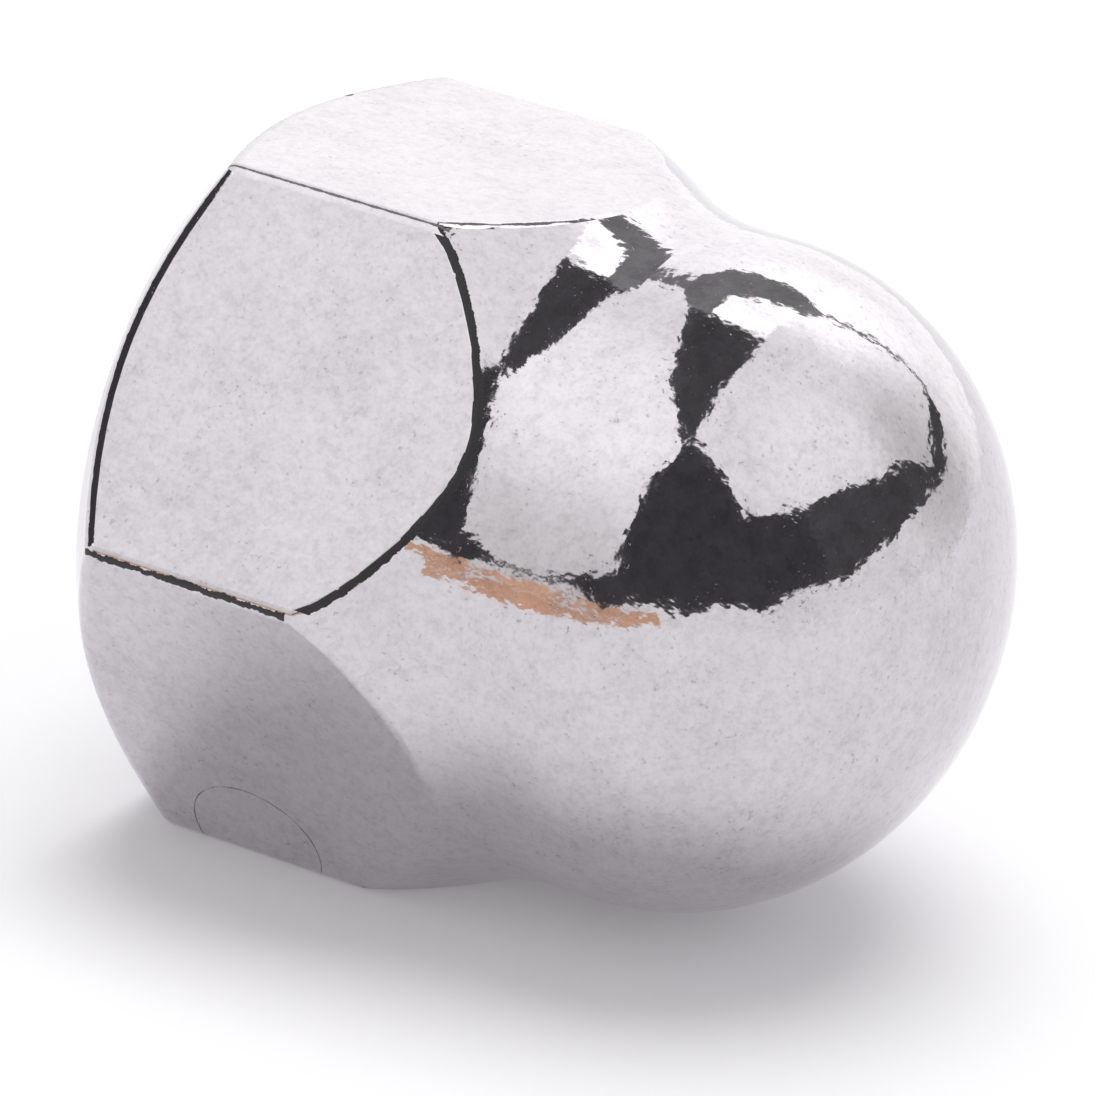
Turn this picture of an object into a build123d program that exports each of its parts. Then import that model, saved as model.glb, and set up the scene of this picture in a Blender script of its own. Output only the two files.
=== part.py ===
"""Domed cap nut, M8, lying on one flat of its hexagon with the thread axis along X."""

import os
from math import cos, radians, sin, sqrt, tan

from build123d import *

# Overall, in millimetres
across_flats = 13.0
total_height = 15.2

# Open end: flat bearing ring inside the flats, then a wide chamfer over the corners
bearing_face_inset = 0.4
bearing_chamfer_angle = 37.5

# Sharp length of each hexagon edge, between the two chamfered ends
corner_edge_length = 4.15

# Domed end: the corners roll over a shoulder, down a cone and through a neck into the dome
shoulder_start_angle = 15.0
shoulder_end_angle = 27.5
shoulder_radius = 4.7
neck_radius = 3.9
neck_land = 0.78
dome_inset = 0.22

# Blind threaded bore, left plain at the thread's outer diameter
thread_diameter = 8.0
mouth_chamfer = 0.35
drill_point_angle = 118.0
crown_thickness = 2.3

# Polished edges
edge_round = 0.3
rim_round = 0.08

# Radii about the thread axis
flat_radius = across_flats / 2
corner_radius = across_flats / sqrt(3)
bearing_radius = flat_radius - bearing_face_inset
dome_radius = flat_radius - dome_inset
bore_radius = thread_diameter / 2
mouth_radius = bore_radius + mouth_chamfer
cutter_radius = corner_radius + 0.3

# Stations along the axis, from the bearing face
chamfer_slope = tan(radians(bearing_chamfer_angle))
chamfer_end = (corner_radius - bearing_radius) * chamfer_slope
cutter_start = (cutter_radius - bearing_radius) * chamfer_slope
shoulder_start = chamfer_end + corner_edge_length
cutter_end = shoulder_start - (cutter_radius - corner_radius) / tan(radians(shoulder_start_angle))
shoulder_drop = shoulder_radius * (cos(radians(shoulder_start_angle)) - cos(radians(shoulder_end_angle)))
shoulder_length = shoulder_radius * (sin(radians(shoulder_end_angle)) - sin(radians(shoulder_start_angle)))
cone_drop = corner_radius - shoulder_drop - dome_radius
cone_foot = shoulder_start + shoulder_length + cone_drop / tan(radians(shoulder_end_angle))
neck_tangent = neck_radius * tan(radians(shoulder_end_angle) / 2)
neck_end = cone_foot + neck_tangent
dome_start = neck_end + neck_land
dome_rise = total_height - dome_start
bore_tip = total_height - crown_thickness
bore_depth = bore_tip - bore_radius / tan(radians(drill_point_angle) / 2)

# The nut lies along X with the middle of its length over the origin and one flat on the ground.
# The turned outline stands between a corner and the middle of a flat, so its seam crosses neither.
face_origin = (-total_height / 2, 0, flat_radius)
face_plane = Plane(origin=face_origin, x_dir=(0, 1, 0), z_dir=(1, 0, 0))
axial_plane = Plane(origin=face_origin, x_dir=(1, 0, 0), z_dir=(0, 1, 1))
thread_axis = Axis(face_origin, (1, 0, 0))

with BuildPart() as cap_nut:
    # Hexagonal bar
    with BuildSketch(face_plane):
        RegularPolygon(radius=flat_radius, side_count=6, major_radius=False)
    extrude(amount=total_height)

    # Turned outline: chamfered open end, shoulder, cone, neck and dome
    with BuildSketch(axial_plane):
        with BuildLine():
            Polyline(
                (0, 0),
                (0, bearing_radius),
                (cutter_start, cutter_radius),
                (cutter_end, cutter_radius),
                (shoulder_start, corner_radius),
            )
            shoulder = JernArc(
                start=(shoulder_start, corner_radius),
                tangent=(cos(radians(shoulder_start_angle)), -sin(radians(shoulder_start_angle))),
                radius=shoulder_radius,
                arc_size=shoulder_start_angle - shoulder_end_angle,
            )
            cone = PolarLine(
                start=shoulder @ 1,
                length=cone_drop / sin(radians(shoulder_end_angle)) - neck_tangent,
                angle=-shoulder_end_angle,
            )
            neck = JernArc(
                start=cone @ 1,
                tangent=cone % 1,
                radius=neck_radius,
                arc_size=shoulder_end_angle,
            )
            Line(neck @ 1, (dome_start, dome_radius))
            EllipticalCenterArc(
                center=(dome_start, 0),
                x_radius=dome_rise,
                y_radius=dome_radius,
                start_angle=0,
                arc_size=90,
            )
            Line((total_height, 0), (0, 0))
        make_face()
    revolve(axis=thread_axis, mode=Mode.INTERSECT)

    # Polished edges all round each flat, then round the bearing ring
    flats = cap_nut.faces().filter_by(GeomType.PLANE).sort_by(Axis.X)[1:]
    flat_borders = [edge for edge in cap_nut.edges() if edge in flats.edges()]
    fillet(flat_borders, radius=edge_round)
    fillet(cap_nut.faces().sort_by(Axis.X)[0].edges(), radius=rim_round)

    # Blind bore with its mouth chamfer and drill point
    with BuildSketch(axial_plane):
        Polygon(
            (0, 0),
            (0, mouth_radius),
            (mouth_chamfer, bore_radius),
            (bore_depth, bore_radius),
            (bore_tip, 0),
            align=None,
        )
    revolve(axis=thread_axis, mode=Mode.SUBTRACT)

cap_nut.part.label = "cap_nut"

os.makedirs("parts", exist_ok=True)
export_step(cap_nut.part, "parts/cap_nut.step")
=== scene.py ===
"""Domed cap nut on a white table: polished finish, thread ridge, studio and camera."""

import logging
import math
from dataclasses import dataclass
from enum import Enum

import bmesh
import bpy
from mathutils import Matrix, Vector


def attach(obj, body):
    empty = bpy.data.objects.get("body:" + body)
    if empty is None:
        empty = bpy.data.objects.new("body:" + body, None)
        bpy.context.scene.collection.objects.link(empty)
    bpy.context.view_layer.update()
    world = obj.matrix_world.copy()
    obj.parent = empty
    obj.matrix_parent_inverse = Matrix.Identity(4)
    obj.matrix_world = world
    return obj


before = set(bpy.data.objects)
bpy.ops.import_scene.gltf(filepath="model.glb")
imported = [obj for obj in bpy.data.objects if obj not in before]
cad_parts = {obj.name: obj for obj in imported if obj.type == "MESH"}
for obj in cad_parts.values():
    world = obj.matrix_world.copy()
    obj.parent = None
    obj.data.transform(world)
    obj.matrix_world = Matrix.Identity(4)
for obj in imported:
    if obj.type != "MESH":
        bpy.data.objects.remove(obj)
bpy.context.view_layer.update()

LOG = logging.getLogger("cap_nut")
MM = 0.001
AXIS_HEIGHT = 6.5 * MM
BORE_AXIS = Vector((0.0, 0.0, AXIS_HEIGHT))


class Val:
    """One shader value, written in expressions that add Math nodes."""

    def __init__(self, web: "NodeWeb", socket: bpy.types.NodeSocket) -> None:
        """Keep the node tree and the socket that gives the value."""
        self.web = web
        self.socket = socket

    def _math(self, operation: str, *others: "Val | float") -> "Val":
        """Add one Math node on this value and the others."""
        return self.web.node("ShaderNodeMath", {"operation": operation}, [self, *others])

    def __add__(self, other: "Val | float") -> "Val":
        """Sum."""
        return self._math("ADD", other)

    __radd__ = __add__

    def __mul__(self, other: "Val | float") -> "Val":
        """Product."""
        return self._math("MULTIPLY", other)

    __rmul__ = __mul__

    def __sub__(self, other: "Val | float") -> "Val":
        """Difference."""
        return self._math("SUBTRACT", other)

    def __rsub__(self, other: "Val | float") -> "Val":
        """Difference, taken from the other value."""
        return self.web.node("ShaderNodeMath", {"operation": "SUBTRACT"}, [other, self])

    def __abs__(self) -> "Val":
        """Size without the sign."""
        return self._math("ABSOLUTE")

    def over(self, limit: "Val | float") -> "Val":
        """One where this value is above the limit, else nought."""
        return self._math("GREATER_THAN", limit)

    def under(self, limit: "Val | float") -> "Val":
        """One where this value is below the limit, else nought."""
        return self._math("LESS_THAN", limit)

    def most(self, other: "Val | float") -> "Val":
        """The larger of two values."""
        return self._math("MAXIMUM", other)

    def step(self, low: float, high: float) -> "Val":
        """Smooth rise from nought at low to one at high."""
        return self.web.node(
            "ShaderNodeMapRange",
            {"interpolation_type": "SMOOTHSTEP"},
            {"Value": self, "From Min": low, "From Max": high},
        )


class NodeWeb:
    """The node tree of one material or world, built node by node."""

    def __init__(self, tree: bpy.types.NodeTree) -> None:
        """Empty the tree."""
        self.tree = tree
        tree.nodes.clear()

    def node(
        self,
        kind: str,
        settings: dict | None = None,
        inputs: "dict | list | None" = None,
        output: "str | int" = 0,
    ) -> "Val | None":
        """Add one node.

        Args:
            kind: node type.
            settings: its properties, set before its sockets.
            inputs: values or links of its sockets, by name or by place.
            output: which output the result stands for.

        Returns:
            The chosen output as a value, or None for a node that has no outputs.
        """
        made = self.tree.nodes.new(kind)
        for name, setting in (settings or {}).items():
            setattr(made, name, setting)
        pairs = inputs.items() if isinstance(inputs, dict) else enumerate(inputs or [])
        for key, given in pairs:
            socket = made.inputs[key]
            if isinstance(given, Val):
                self.tree.links.new(given.socket, socket)
            else:
                socket.default_value = given
        return Val(self, made.outputs[output]) if made.outputs else None

    def out(self, shader: Val, kind: str = "ShaderNodeOutputMaterial") -> None:
        """Link the finished shader to the output node."""
        self.node(kind, None, {"Surface": shader})


class Reach(Enum):
    """How far away each layer of cards hangs, in metres: nearer layers hide the ones behind."""

    FLAG = 2.7
    PATCH = 2.5


@dataclass(frozen=True)
class Steel:
    """Bright polished plating over steel, with fine pits, cloudy marks and ragged polish, and painted dark
    reflections along edges of the front flat.

    Lengths are in metres.
    """

    name: str = "bright_plating"
    tint: tuple[float, float, float, float] = (0.65, 0.62, 0.65, 1.0)
    cloud_tint: tuple[float, float, float, float] = (0.46, 0.435, 0.46, 1.0)
    # dark colour of the painted edge reflections on the front flat, and of the real ring scratch and nick
    edge_reflection_and_scratch_tint: tuple[float, float, float, float] = (0.022, 0.02, 0.022, 1.0)
    pit_tint: tuple[float, float, float, float] = (0.30, 0.28, 0.29, 1.0)
    roughness: float = 0.045
    # where the painted dark edge reflections lie on the front flat
    corner_reach: float = 7.38 * MM
    corner_end: float = -2.35 * MM
    line_half_width: float = 0.062 * MM
    fine_half_width: float = 0.026 * MM
    rim_top: float = 0.003 * MM
    rim_bottom: float = 0.055 * MM
    rim_half_length: float = 3.57 * MM
    rim_start: float = -3.6 * MM
    ring_centre: tuple[float, float, float] = (-4.36 * MM, -4.011 * MM, 0.447 * MM)
    ring_radius: float = 1.354 * MM
    ring_width: float = 0.022 * MM
    ring_ceiling: float = 2.0 * MM
    ring_front: float = -3.7 * MM
    nick_centre: tuple[float, float, float] = (-7.14 * MM, 1.32 * MM, 12.93 * MM)
    nick_radius: float = 0.11 * MM

    def material(self) -> bpy.types.Material:
        """Make the node material.

        Returns:
            The finished material.
        """
        made = bpy.data.materials.new(self.name)
        made.use_nodes = True
        web = NodeWeb(made.node_tree)
        place = web.node("ShaderNodeTexCoord", None, None, "Object")
        # dark lines: painted edge reflections on the front flat, plus the ring scratch and nick
        lines = self._line_masks(web, place)
        tint, dull = self._tint(web, place, lines)
        shader = web.node(
            "ShaderNodeBsdfPrincipled",
            None,
            {
                "Base Color": tint,
                "Metallic": 1.0 - lines,
                "Roughness": dull,
                "Normal": self._relief(web, place),
            },
        )
        web.out(shader)
        return made

    def _noise(
        self, web: NodeWeb, place: Val, size: float, detail: float = 2.0, rough: float = 0.5
    ) -> Val:
        """Noise whose lumps have the given size in metres."""
        return web.node(
            "ShaderNodeTexNoise",
            {"noise_dimensions": "3D"},
            {"Vector": place, "Scale": 1.0 / size, "Detail": detail, "Roughness": rough},
            0,
        )

    def _turned(
        self,
        web: NodeWeb,
        place: Val,
        turn: tuple[float, float, float],
        scale: tuple[float, float, float],
    ) -> Val:
        """The place, turned and then stretched, for marks that run one way."""
        return web.node(
            "ShaderNodeMapping",
            {"vector_type": "TEXTURE"},
            {"Vector": place, "Rotation": turn, "Scale": scale},
        )

    def _pits(self, web: NodeWeb, place: Val, size: float, gathering: float) -> Val:
        """Irregular pits of the given size, gathered in groups of the given width."""
        grain = self._noise(web, place, size, 2.0, 0.6)
        group = self._noise(web, place, gathering, 2.0, 0.5)
        return (grain + group * 0.35).step(0.86, 0.95)

    def _line_masks(self, web: NodeWeb, place: Val) -> Val:
        """Painted dark reflections along two corners and one rim of the front flat, then a ring scratch and
        a nick.
        """
        x, y, z = (web.node("ShaderNodeSeparateXYZ", None, [place], axis) for axis in ("X", "Y", "Z"))
        ragged = self._noise(web, place, 0.16 * MM, 3.0, 0.6) - 0.5
        height = z - AXIS_HEIGHT
        # painted reflection: dark line along the corner below the front flat
        front = (abs(height + 0.01 * MM) + ragged * 0.19 * MM).under(self.line_half_width)
        front = front * y.under(-self.corner_reach) * x.under(self.corner_end)
        cos60, sin60 = math.cos(math.radians(60)), math.sin(math.radians(60))
        # painted reflection: thin dark line along the corner above the front flat
        upper_out = y * -cos60 + height * sin60
        upper_off = abs(y * sin60 + height * cos60)
        upper = (upper_off + ragged * 0.05 * MM).under(self.fine_half_width)
        upper = upper * upper_out.over(self.corner_reach)
        lines = front.most(upper * 0.8)
        cos30, sin30 = math.cos(math.radians(30)), math.sin(math.radians(30))
        # painted reflection: dark line along the front flat's rim at its dome end
        drop = AXIS_HEIGHT + y * cos30 - height * sin30
        along = abs(y * sin30 + height * cos30)
        rim = drop.over(self.rim_top) * (drop + ragged * 0.07 * MM).under(self.rim_bottom)
        rim = rim * along.under(self.rim_half_length) * x.over(self.rim_start)
        lines = lines.most(rim)
        # the ring scratch and the nick are real marks
        from_ring = self._distance(web, place, self.ring_centre)
        thin = abs(from_ring - self.ring_radius + ragged * 0.02 * MM)
        broken = self._noise(web, place, 0.5 * MM, 1.0).step(0.35, 0.6)
        low = z.under(self.ring_ceiling) * y.under(self.ring_front)
        ring = thin.step(self.ring_width, 0.3 * self.ring_width) * (broken * 0.6 + 0.25) * low
        nick = (self._distance(web, place, self.nick_centre) + ragged * 0.1 * MM).under(self.nick_radius)
        return lines.most(ring).most(nick)

    def _distance(self, web: NodeWeb, place: Val, centre: tuple[float, float, float]) -> Val:
        """Distance of the place from a centre."""
        return web.node("ShaderNodeVectorMath", {"operation": "DISTANCE"}, [place, centre], "Value")

    def _tint(self, web: NodeWeb, place: Val, lines: Val) -> tuple[Val, Val]:
        """Colour and roughness over the surface, with the dark lines (painted edge reflections, ring
        scratch and nick) laid over both.
        """
        cloud = self._noise(web, place, 1.4 * MM, 4.0, 0.65).step(0.35, 0.75)
        haze = self._noise(web, place, 0.24 * MM, 4.0, 0.7).step(0.4, 0.75)
        grain = self._noise(web, place, 0.085 * MM, 2.0, 0.6).step(0.42, 0.72)
        drawn = self._turned(web, place, (0.9, -0.5, 0.4), (5.0, 0.8, 0.8))
        smear = self._noise(web, drawn, 0.11 * MM, 2.0).step(0.5, 0.8)
        small_pits = self._pits(web, place, 0.085 * MM, 0.7 * MM)
        pits = small_pits.most(self._pits(web, place, 0.15 * MM, 1.5 * MM) * 0.8)
        mix = {"data_type": "RGBA"}
        worn = cloud * 0.27 + haze * 0.42 + grain * 0.26 + smear * 0.14
        shade = web.node("ShaderNodeMix", mix, {0: worn, 6: self.tint, 7: self.cloud_tint}, 2)
        shade = web.node("ShaderNodeMix", mix, {0: pits * 0.6, 6: shade, 7: self.pit_tint}, 2)
        # painted dark edge reflections, with the ring scratch and nick, laid over colour and roughness
        shade = web.node("ShaderNodeMix", mix, {0: lines, 6: shade, 7: self.edge_reflection_and_scratch_tint}, 2)
        return shade, self.roughness + cloud * 0.02 + haze * 0.02 + pits * 0.04 + lines * 0.45

    def _relief(self, web: NodeWeb, place: Val) -> Val:
        """Fine relief: swells, ripples, polish marks and pits."""
        swell = self._noise(web, place, 1.1 * MM, 2.0)
        ripple = self._noise(web, place, 0.27 * MM, 1.6, 0.5)
        drawn = self._turned(web, place, (0.3, 0.5, 0.6), (3.2, 0.8, 0.8))
        marks = self._noise(web, drawn, 0.13 * MM, 2.0)
        pits = self._pits(web, place, 0.085 * MM, 0.7 * MM)
        height = swell * 7.0 + ripple * 5.6 + marks * 1.0 - pits * 0.8
        return web.node("ShaderNodeBump", None, {"Strength": 1.0, "Distance": 0.001 * MM, "Height": height})


@dataclass
class ThreadRidge:
    """Right-hand metric ridge inside the bore, standing on its plain wall. Lengths are in millimetres."""

    pitch: float = 1.25
    wall_radius: float = 4.0
    crest_radius: float = 3.324
    sunk: float = 0.04
    start: float = -6.95
    end: float = 2.0
    turn_steps: int = 56
    run_in_turns: float = 0.6
    lip: float = 0.05

    def build(self) -> bpy.types.Object:
        """Spin the ridge along the axis of the nut.

        Returns:
            The ridge as an object at the origin.
        """
        shape = bmesh.new()
        half_root, half_crest = self.pitch * 7 / 16, self.pitch / 8
        outline = (
            (-half_root, self.wall_radius + self.sunk),
            (-half_crest - self.lip * 0.5, self.crest_radius + self.lip),
            (-half_crest + self.lip, self.crest_radius),
            (half_crest - self.lip, self.crest_radius),
            (half_crest + self.lip * 0.5, self.crest_radius + self.lip),
            (half_root, self.wall_radius + self.sunk),
        )
        corners = [shape.verts.new((self.start + along, 0.0, out)) for along, out in outline]
        face = shape.faces.new(corners)
        turns = (self.end - self.start) / self.pitch
        steps = round(turns * self.turn_steps)
        bmesh.ops.spin(
            shape,
            geom=[face, *face.edges, *face.verts],
            cent=(0.0, 0.0, 0.0),
            axis=(1.0, 0.0, 0.0),
            dvec=((self.end - self.start) / steps, 0.0, 0.0),
            angle=turns * math.tau,
            steps=steps,
        )
        self._fade_ends(shape)
        bmesh.ops.remove_doubles(shape, verts=shape.verts, dist=1e-4)
        bmesh.ops.recalc_face_normals(shape, faces=shape.faces)
        placed = Matrix.Translation(BORE_AXIS) @ Matrix.Scale(MM, 4)
        bmesh.ops.transform(shape, matrix=placed, verts=shape.verts)
        mesh = bpy.data.meshes.new("thread_ridge")
        shape.to_mesh(mesh)
        shape.free()
        mesh.shade_smooth()
        mesh.set_sharp_from_angle(angle=math.radians(50))
        return bpy.data.objects.new("thread_ridge", mesh)

    def _fade_ends(self, shape: bmesh.types.BMesh) -> None:
        """Sink the first and last part of a turn into the wall, so the ridge runs in and out."""
        fade = self.run_in_turns * self.pitch
        for vert in shape.verts:
            reach = math.hypot(vert.co.y, vert.co.z)
            wall = self.wall_radius + self.sunk
            left = min(1.0, max(0.03, min(vert.co.x - self.start, self.end - vert.co.x) / fade))
            if reach < wall - 0.01:
                scale = (wall - (wall - reach) * left) / reach
                vert.co.y *= scale
                vert.co.z *= scale


@dataclass(frozen=True)
class Panel:
    """A plain card that only shows in polished metal.

    Its outline is given in degrees from straight above: first to the right (+X), then to the
    back (+Y). Ninety degrees out is the height of the table.
    """

    name: str
    shade: tuple[float, float, float]
    outline: tuple[tuple[float, float], ...]
    reach: Reach = Reach.FLAG

    def build(self, centre: Vector) -> bpy.types.Object:
        """Cut the outline flat, divide it and bend it over a wide sphere.

        Args:
            centre: the middle of the sphere.

        Returns:
            The panel.
        """
        shape = bmesh.new()
        shape.faces.new([shape.verts.new((right, back, 0.0)) for right, back in self.outline])
        bmesh.ops.triangulate(shape, faces=shape.faces)
        bmesh.ops.subdivide_edges(shape, edges=shape.edges, cuts=5, use_grid_fill=True)
        for vert in shape.verts:
            lean = math.radians(vert.co.xy.length)
            way = vert.co.xy.normalized() * math.sin(lean)
            vert.co = centre + Vector((way.x, way.y, math.cos(lean))) * self.reach.value
        return glossy_only(shape, self.name, self.shade)


def glossy_only(shape: bmesh.types.BMesh, name: str, shade: tuple[float, float, float]) -> bpy.types.Object:
    """Make a plain card that only reflections see.

    Args:
        shape: its mesh, which is used up.
        name: its name.
        shade: the brightness it shows.

    Returns:
        The card.
    """
    mesh = bpy.data.meshes.new(name)
    shape.to_mesh(mesh)
    shape.free()
    card = bpy.data.objects.new(name, mesh)
    bpy.context.scene.collection.objects.link(card)
    paint = bpy.data.materials.new(name)
    paint.use_nodes = True
    web = NodeWeb(paint.node_tree)
    place = web.node("ShaderNodeTexCoord", None, None, "Object")
    fold = web.node(
        "ShaderNodeTexNoise", {"noise_dimensions": "3D"}, {"Vector": place, "Scale": 3.5, "Detail": 3.0}
    )
    web.out(web.node("ShaderNodeEmission", None, {"Color": (*shade, 1.0), "Strength": 0.55 + fold * 0.9}))
    mesh.materials.append(paint)
    for ray in ("camera", "diffuse", "shadow", "transmission", "volume_scatter"):
        setattr(card, "visible_" + ray, False)
    return card


def direction(bearing: float, height: float) -> Vector:
    """Unit vector for a bearing from the front (-Y) towards +X and a height, in degrees."""
    turn, lift = math.radians(bearing), math.radians(height)
    return Vector((math.sin(turn) * math.cos(lift), -math.cos(turn) * math.cos(lift), math.sin(lift)))


@dataclass(frozen=True)
class SoftArea:
    """A soft brighter or dimmer area of the surround, by bearing, height and reach in degrees."""

    bearing: float
    height: float
    full: float
    fade: float
    gain: float

    def gain_nodes(self, web: NodeWeb, way: Val) -> Val:
        """Nodes for what the area adds in the direction of way."""
        middle = tuple(direction(self.bearing, self.height))
        facing = web.node("ShaderNodeVectorMath", {"operation": "DOT_PRODUCT"}, [way, middle], "Value")
        return facing.step(math.cos(math.radians(self.fade)), math.cos(math.radians(self.full))) * self.gain


@dataclass
class Studio:
    """White table in a white surround, with plain cards that only polished metal sees."""

    table_size: float = 6.0
    table_tint: tuple[float, float, float, float] = (0.925, 0.915, 0.94, 1.0)
    table_lift: float = 0.13
    thrown_back: float = 0.3
    sky_share: float = 0.52
    lamp_bearing: float = -165.0
    lamp_height: float = 80.0
    lamp_spread: float = 44.0
    strip_near: float = 0.062
    strip_far: float = 2.9
    strip_height: float = 0.0004

    def build(self) -> None:
        """Lay the table, light the surround and hang the panels."""
        self.table()
        self.surround()
        self.lamp()
        self.table_strip()
        for panel in PANELS:
            panel.build(BORE_AXIS)
            LOG.info("hung %s", panel.name)

    def table(self) -> None:
        """Lay the white table top at the ground."""
        mesh = bpy.data.meshes.new("table")
        shape = bmesh.new()
        bmesh.ops.create_grid(shape, x_segments=1, y_segments=1, size=self.table_size / 2)
        shape.to_mesh(mesh)
        shape.free()
        top = bpy.data.objects.new("table", mesh)
        bpy.context.scene.collection.objects.link(top)
        paint = bpy.data.materials.new("table_white")
        paint.use_nodes = True
        web = NodeWeb(paint.node_tree)
        matt = web.node("ShaderNodeBsdfDiffuse", None, {"Color": self.table_tint})
        camera, glossy, passed = (
            web.node("ShaderNodeLightPath", None, None, f"Is {kind} Ray")
            for kind in ("Camera", "Glossy", "Transmission")
        )
        strength = (camera + glossy + passed) * self.table_lift
        lift = web.node("ShaderNodeEmission", None, {"Color": (1.0, 1.0, 1.0, 1.0), "Strength": strength})
        web.out(web.node("ShaderNodeAddShader", None, [matt, lift]))
        mesh.materials.append(paint)

    def surround(self) -> None:
        """Make the world white, with soft brighter and dimmer areas where polished metal sees it."""
        world = bpy.data.worlds.new("surround")
        bpy.context.scene.world = world
        world.use_nodes = True
        web = NodeWeb(world.node_tree)
        way = web.node("ShaderNodeTexCoord", None, None, "Generated")
        glossy = web.node("ShaderNodeLightPath", None, None, "Is Glossy Ray")
        thrown = web.node("ShaderNodeLightPath", None, None, "Diffuse Depth").over(0.5)
        gain = sum((area.gain_nodes(web, way) for area in SOFT_AREAS), 0.0)
        diffuse = web.node("ShaderNodeLightPath", None, None, "Is Diffuse Ray")
        strength = (1.0 + gain * glossy) * (1.0 - glossy * thrown * (1.0 - self.thrown_back))
        strength = strength * (1.0 - diffuse * (1.0 - self.sky_share))
        web.out(
            web.node("ShaderNodeBackground", None, {"Color": (1.0, 1.0, 1.0, 1.0), "Strength": strength}),
            "ShaderNodeOutputWorld",
        )

    def lamp(self) -> None:
        """Hang the soft lamp overhead, which gives the rest of the light and draws the shadow together."""
        light = bpy.data.lights.new("soft_lamp", "SUN")
        light.angle = math.radians(self.lamp_spread)
        light.energy = math.pi * (1.0 - self.sky_share) / math.sin(math.radians(self.lamp_height))
        lamp = bpy.data.objects.new("soft_lamp", light)
        away = -direction(self.lamp_bearing, self.lamp_height)
        lamp.matrix_world = away.to_track_quat("-Z", "Y").to_matrix().to_4x4()
        lamp.visible_glossy = False
        bpy.context.scene.collection.objects.link(lamp)

    def table_strip(self) -> None:
        """Lay the warm strip that ends the white paper in front of the nut."""
        shape = bmesh.new()
        corners = []
        plan = (
            (-36, self.strip_near),
            (-12, 2 * self.strip_near),
            (16, 4 * self.strip_near),
            (16, self.strip_far),
            (-36, self.strip_far),
        )
        for bearing, reach in plan:
            turn = math.radians(bearing)
            right, back = math.sin(turn) * reach, -math.cos(turn) * reach
            corners.append(shape.verts.new((right, back, self.strip_height)))
        shape.faces.new(corners)
        glossy_only(shape, "table_strip", TAN)


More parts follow.
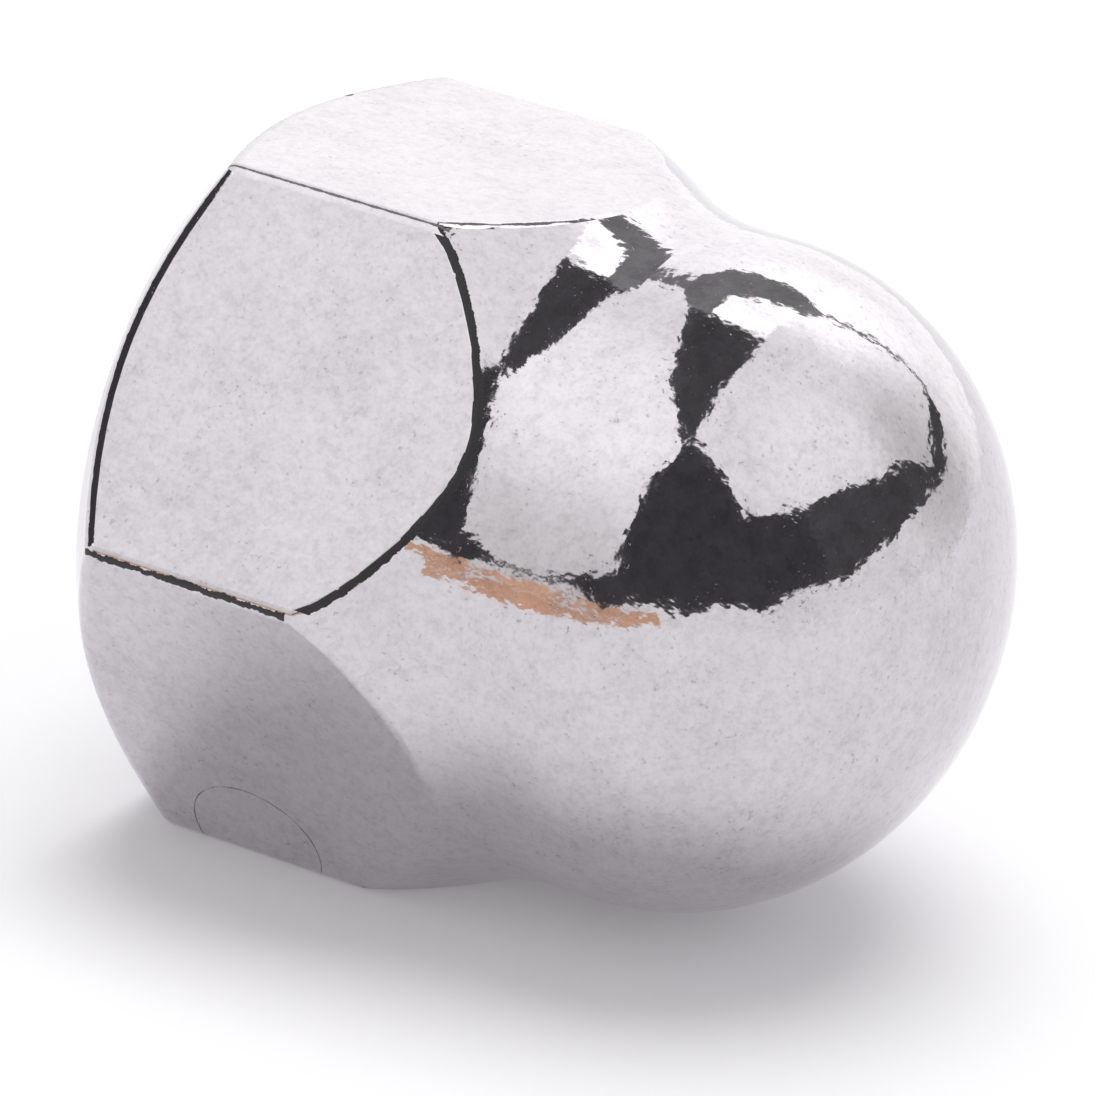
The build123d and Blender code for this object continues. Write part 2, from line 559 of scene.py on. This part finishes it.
DARK = (0.06, 0.058, 0.063)
DUSK = (0.078, 0.077, 0.081)
SLATE = (0.25, 0.25, 0.255)
TAN = (0.76, 0.46, 0.31)
SOFT_AREAS = (
    SoftArea(0, 90, 30, 86, 0.15),
    SoftArea(-172, 24, 16, 46, 0.38),
    SoftArea(178, 38, 4, 26, 0.3),
    SoftArea(-35, 62, 6, 36, 0.22),
    SoftArea(98, 44, 2, 24, 0.08),
    SoftArea(-12, 6, 4, 34, -0.16),
    SoftArea(145, 22, 4, 28, -0.30),
)
PANELS = (
    Panel(
        "front_flag",
        DARK,
        (
            (3, -76), (5, -42), (11, -25), (46, -31), (57, -8), (80, -8), (74, -42),
            (46, -72), (0, -87), (-51, -73), (-23, -79),
        ),
        Reach.FLAG,
    ),
    Panel(
        "side_card",
        DUSK,
        ((57, -8), (56, 25), (47, 57), (23, 66), (28, 70), (46, 63), (60, 48), (72, 27), (80, 5), (80, -8)),
        Reach.FLAG,
    ),
    Panel("slot_card", DUSK, ((8, -29), (-9, -9), (-20, 20), (6, 19), (8, -2), (12, -24)), Reach.FLAG),
    Panel(
        "slate_over",
        SLATE,
        (
            (-20, 20), (-28, 32), (-23, 46), (-4, 49), (3, 45),
            (22, 68), (23, 67), (3, 41), (-15, 32), (-12, 19),
        ),
        Reach.FLAG,
    ),
    Panel(
        "lamp_above",
        (1.9, 1.9, 1.9),
        ((-14.1, 32.2), (-10.2, 34.3), (0, 39), (3.8, 38.3), (4.1, 21.7), (-11, 20.1), (-13.8, 23.6)),
        Reach.PATCH,
    ),
    Panel(
        "side_glow",
        (1.5, 1.5, 1.5),
        ((-41, -54), (-41, -32), (-49, -28), (-51, -40), (-50, -50)),
        Reach.PATCH,
    ),
    Panel(
        "side_flag",
        DARK,
        ((-52, -40), (-88, -52), (-88, 18), (-78, 22), (-62, -4)),
        Reach.FLAG,
    ),
    Panel(
        "warm_edge",
        TAN,
        (
            (-50, -70), (-34, -80.5), (-20, -85), (0, -86.5), (15, -85), (32, -79),
            (35, -81), (20, -88), (0, -90), (-34, -83.5), (-50, -75),
        ),
        Reach.PATCH,
    ),
)


@dataclass
class Camera:
    """The view of the nut from its domed end, slightly above.

    Lengths are in millimetres, angles in degrees.
    """

    aim: tuple[float, float, float] = (-0.89, -0.57, 6.27)
    distance: float = 134.56
    bearing: float = 27.39
    height: float = 21.285
    roll: float = 6.90
    lens: float = 241.3
    sensor: float = 36.0

    def build(self) -> None:
        """Place the camera and make it the scene's."""
        lens = bpy.data.cameras.new("camera")
        lens.lens = self.lens
        lens.sensor_width = self.sensor
        lens.clip_start = 10 * MM
        turned = (
            Matrix.Rotation(math.radians(self.bearing), 4, "Z")
            @ Matrix.Rotation(math.radians(90 - self.height), 4, "X")
            @ Matrix.Rotation(math.radians(self.roll), 4, "Z")
        )
        camera = bpy.data.objects.new("camera", lens)
        place = Vector(self.aim) * MM + turned.to_3x3() @ Vector((0.0, 0.0, self.distance * MM))
        camera.matrix_world = Matrix.Translation(place) @ turned
        bpy.context.scene.collection.objects.link(camera)
        bpy.context.scene.camera = camera


@dataclass
class CapNut:
    """The nut: its solid from the frame, and the thread ridge in its bore."""

    finish: Steel
    thread: ThreadRidge

    def build(self) -> None:
        """Dress the solid and add the ridge."""
        plating = self.finish.material()
        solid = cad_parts["cap_nut"]
        for slot in solid.material_slots:
            slot.material = plating
        LOG.info("dressed %s", solid.name)
        ridge = self.thread.build()
        bpy.context.scene.collection.objects.link(ridge)
        ridge.data.materials.append(plating)
        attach(ridge, "root")
        LOG.info("built %s with %d faces", ridge.name, len(ridge.data.polygons))


def main() -> None:
    """Build the camera, the studio and the nut."""
    bpy.context.scene.view_settings.view_transform = "Standard"
    Camera().build()
    Studio().build()
    CapNut(Steel(), ThreadRidge()).build()


if __name__ == "__main__":
    logging.basicConfig(level=logging.INFO, format="%(message)s")
    main()
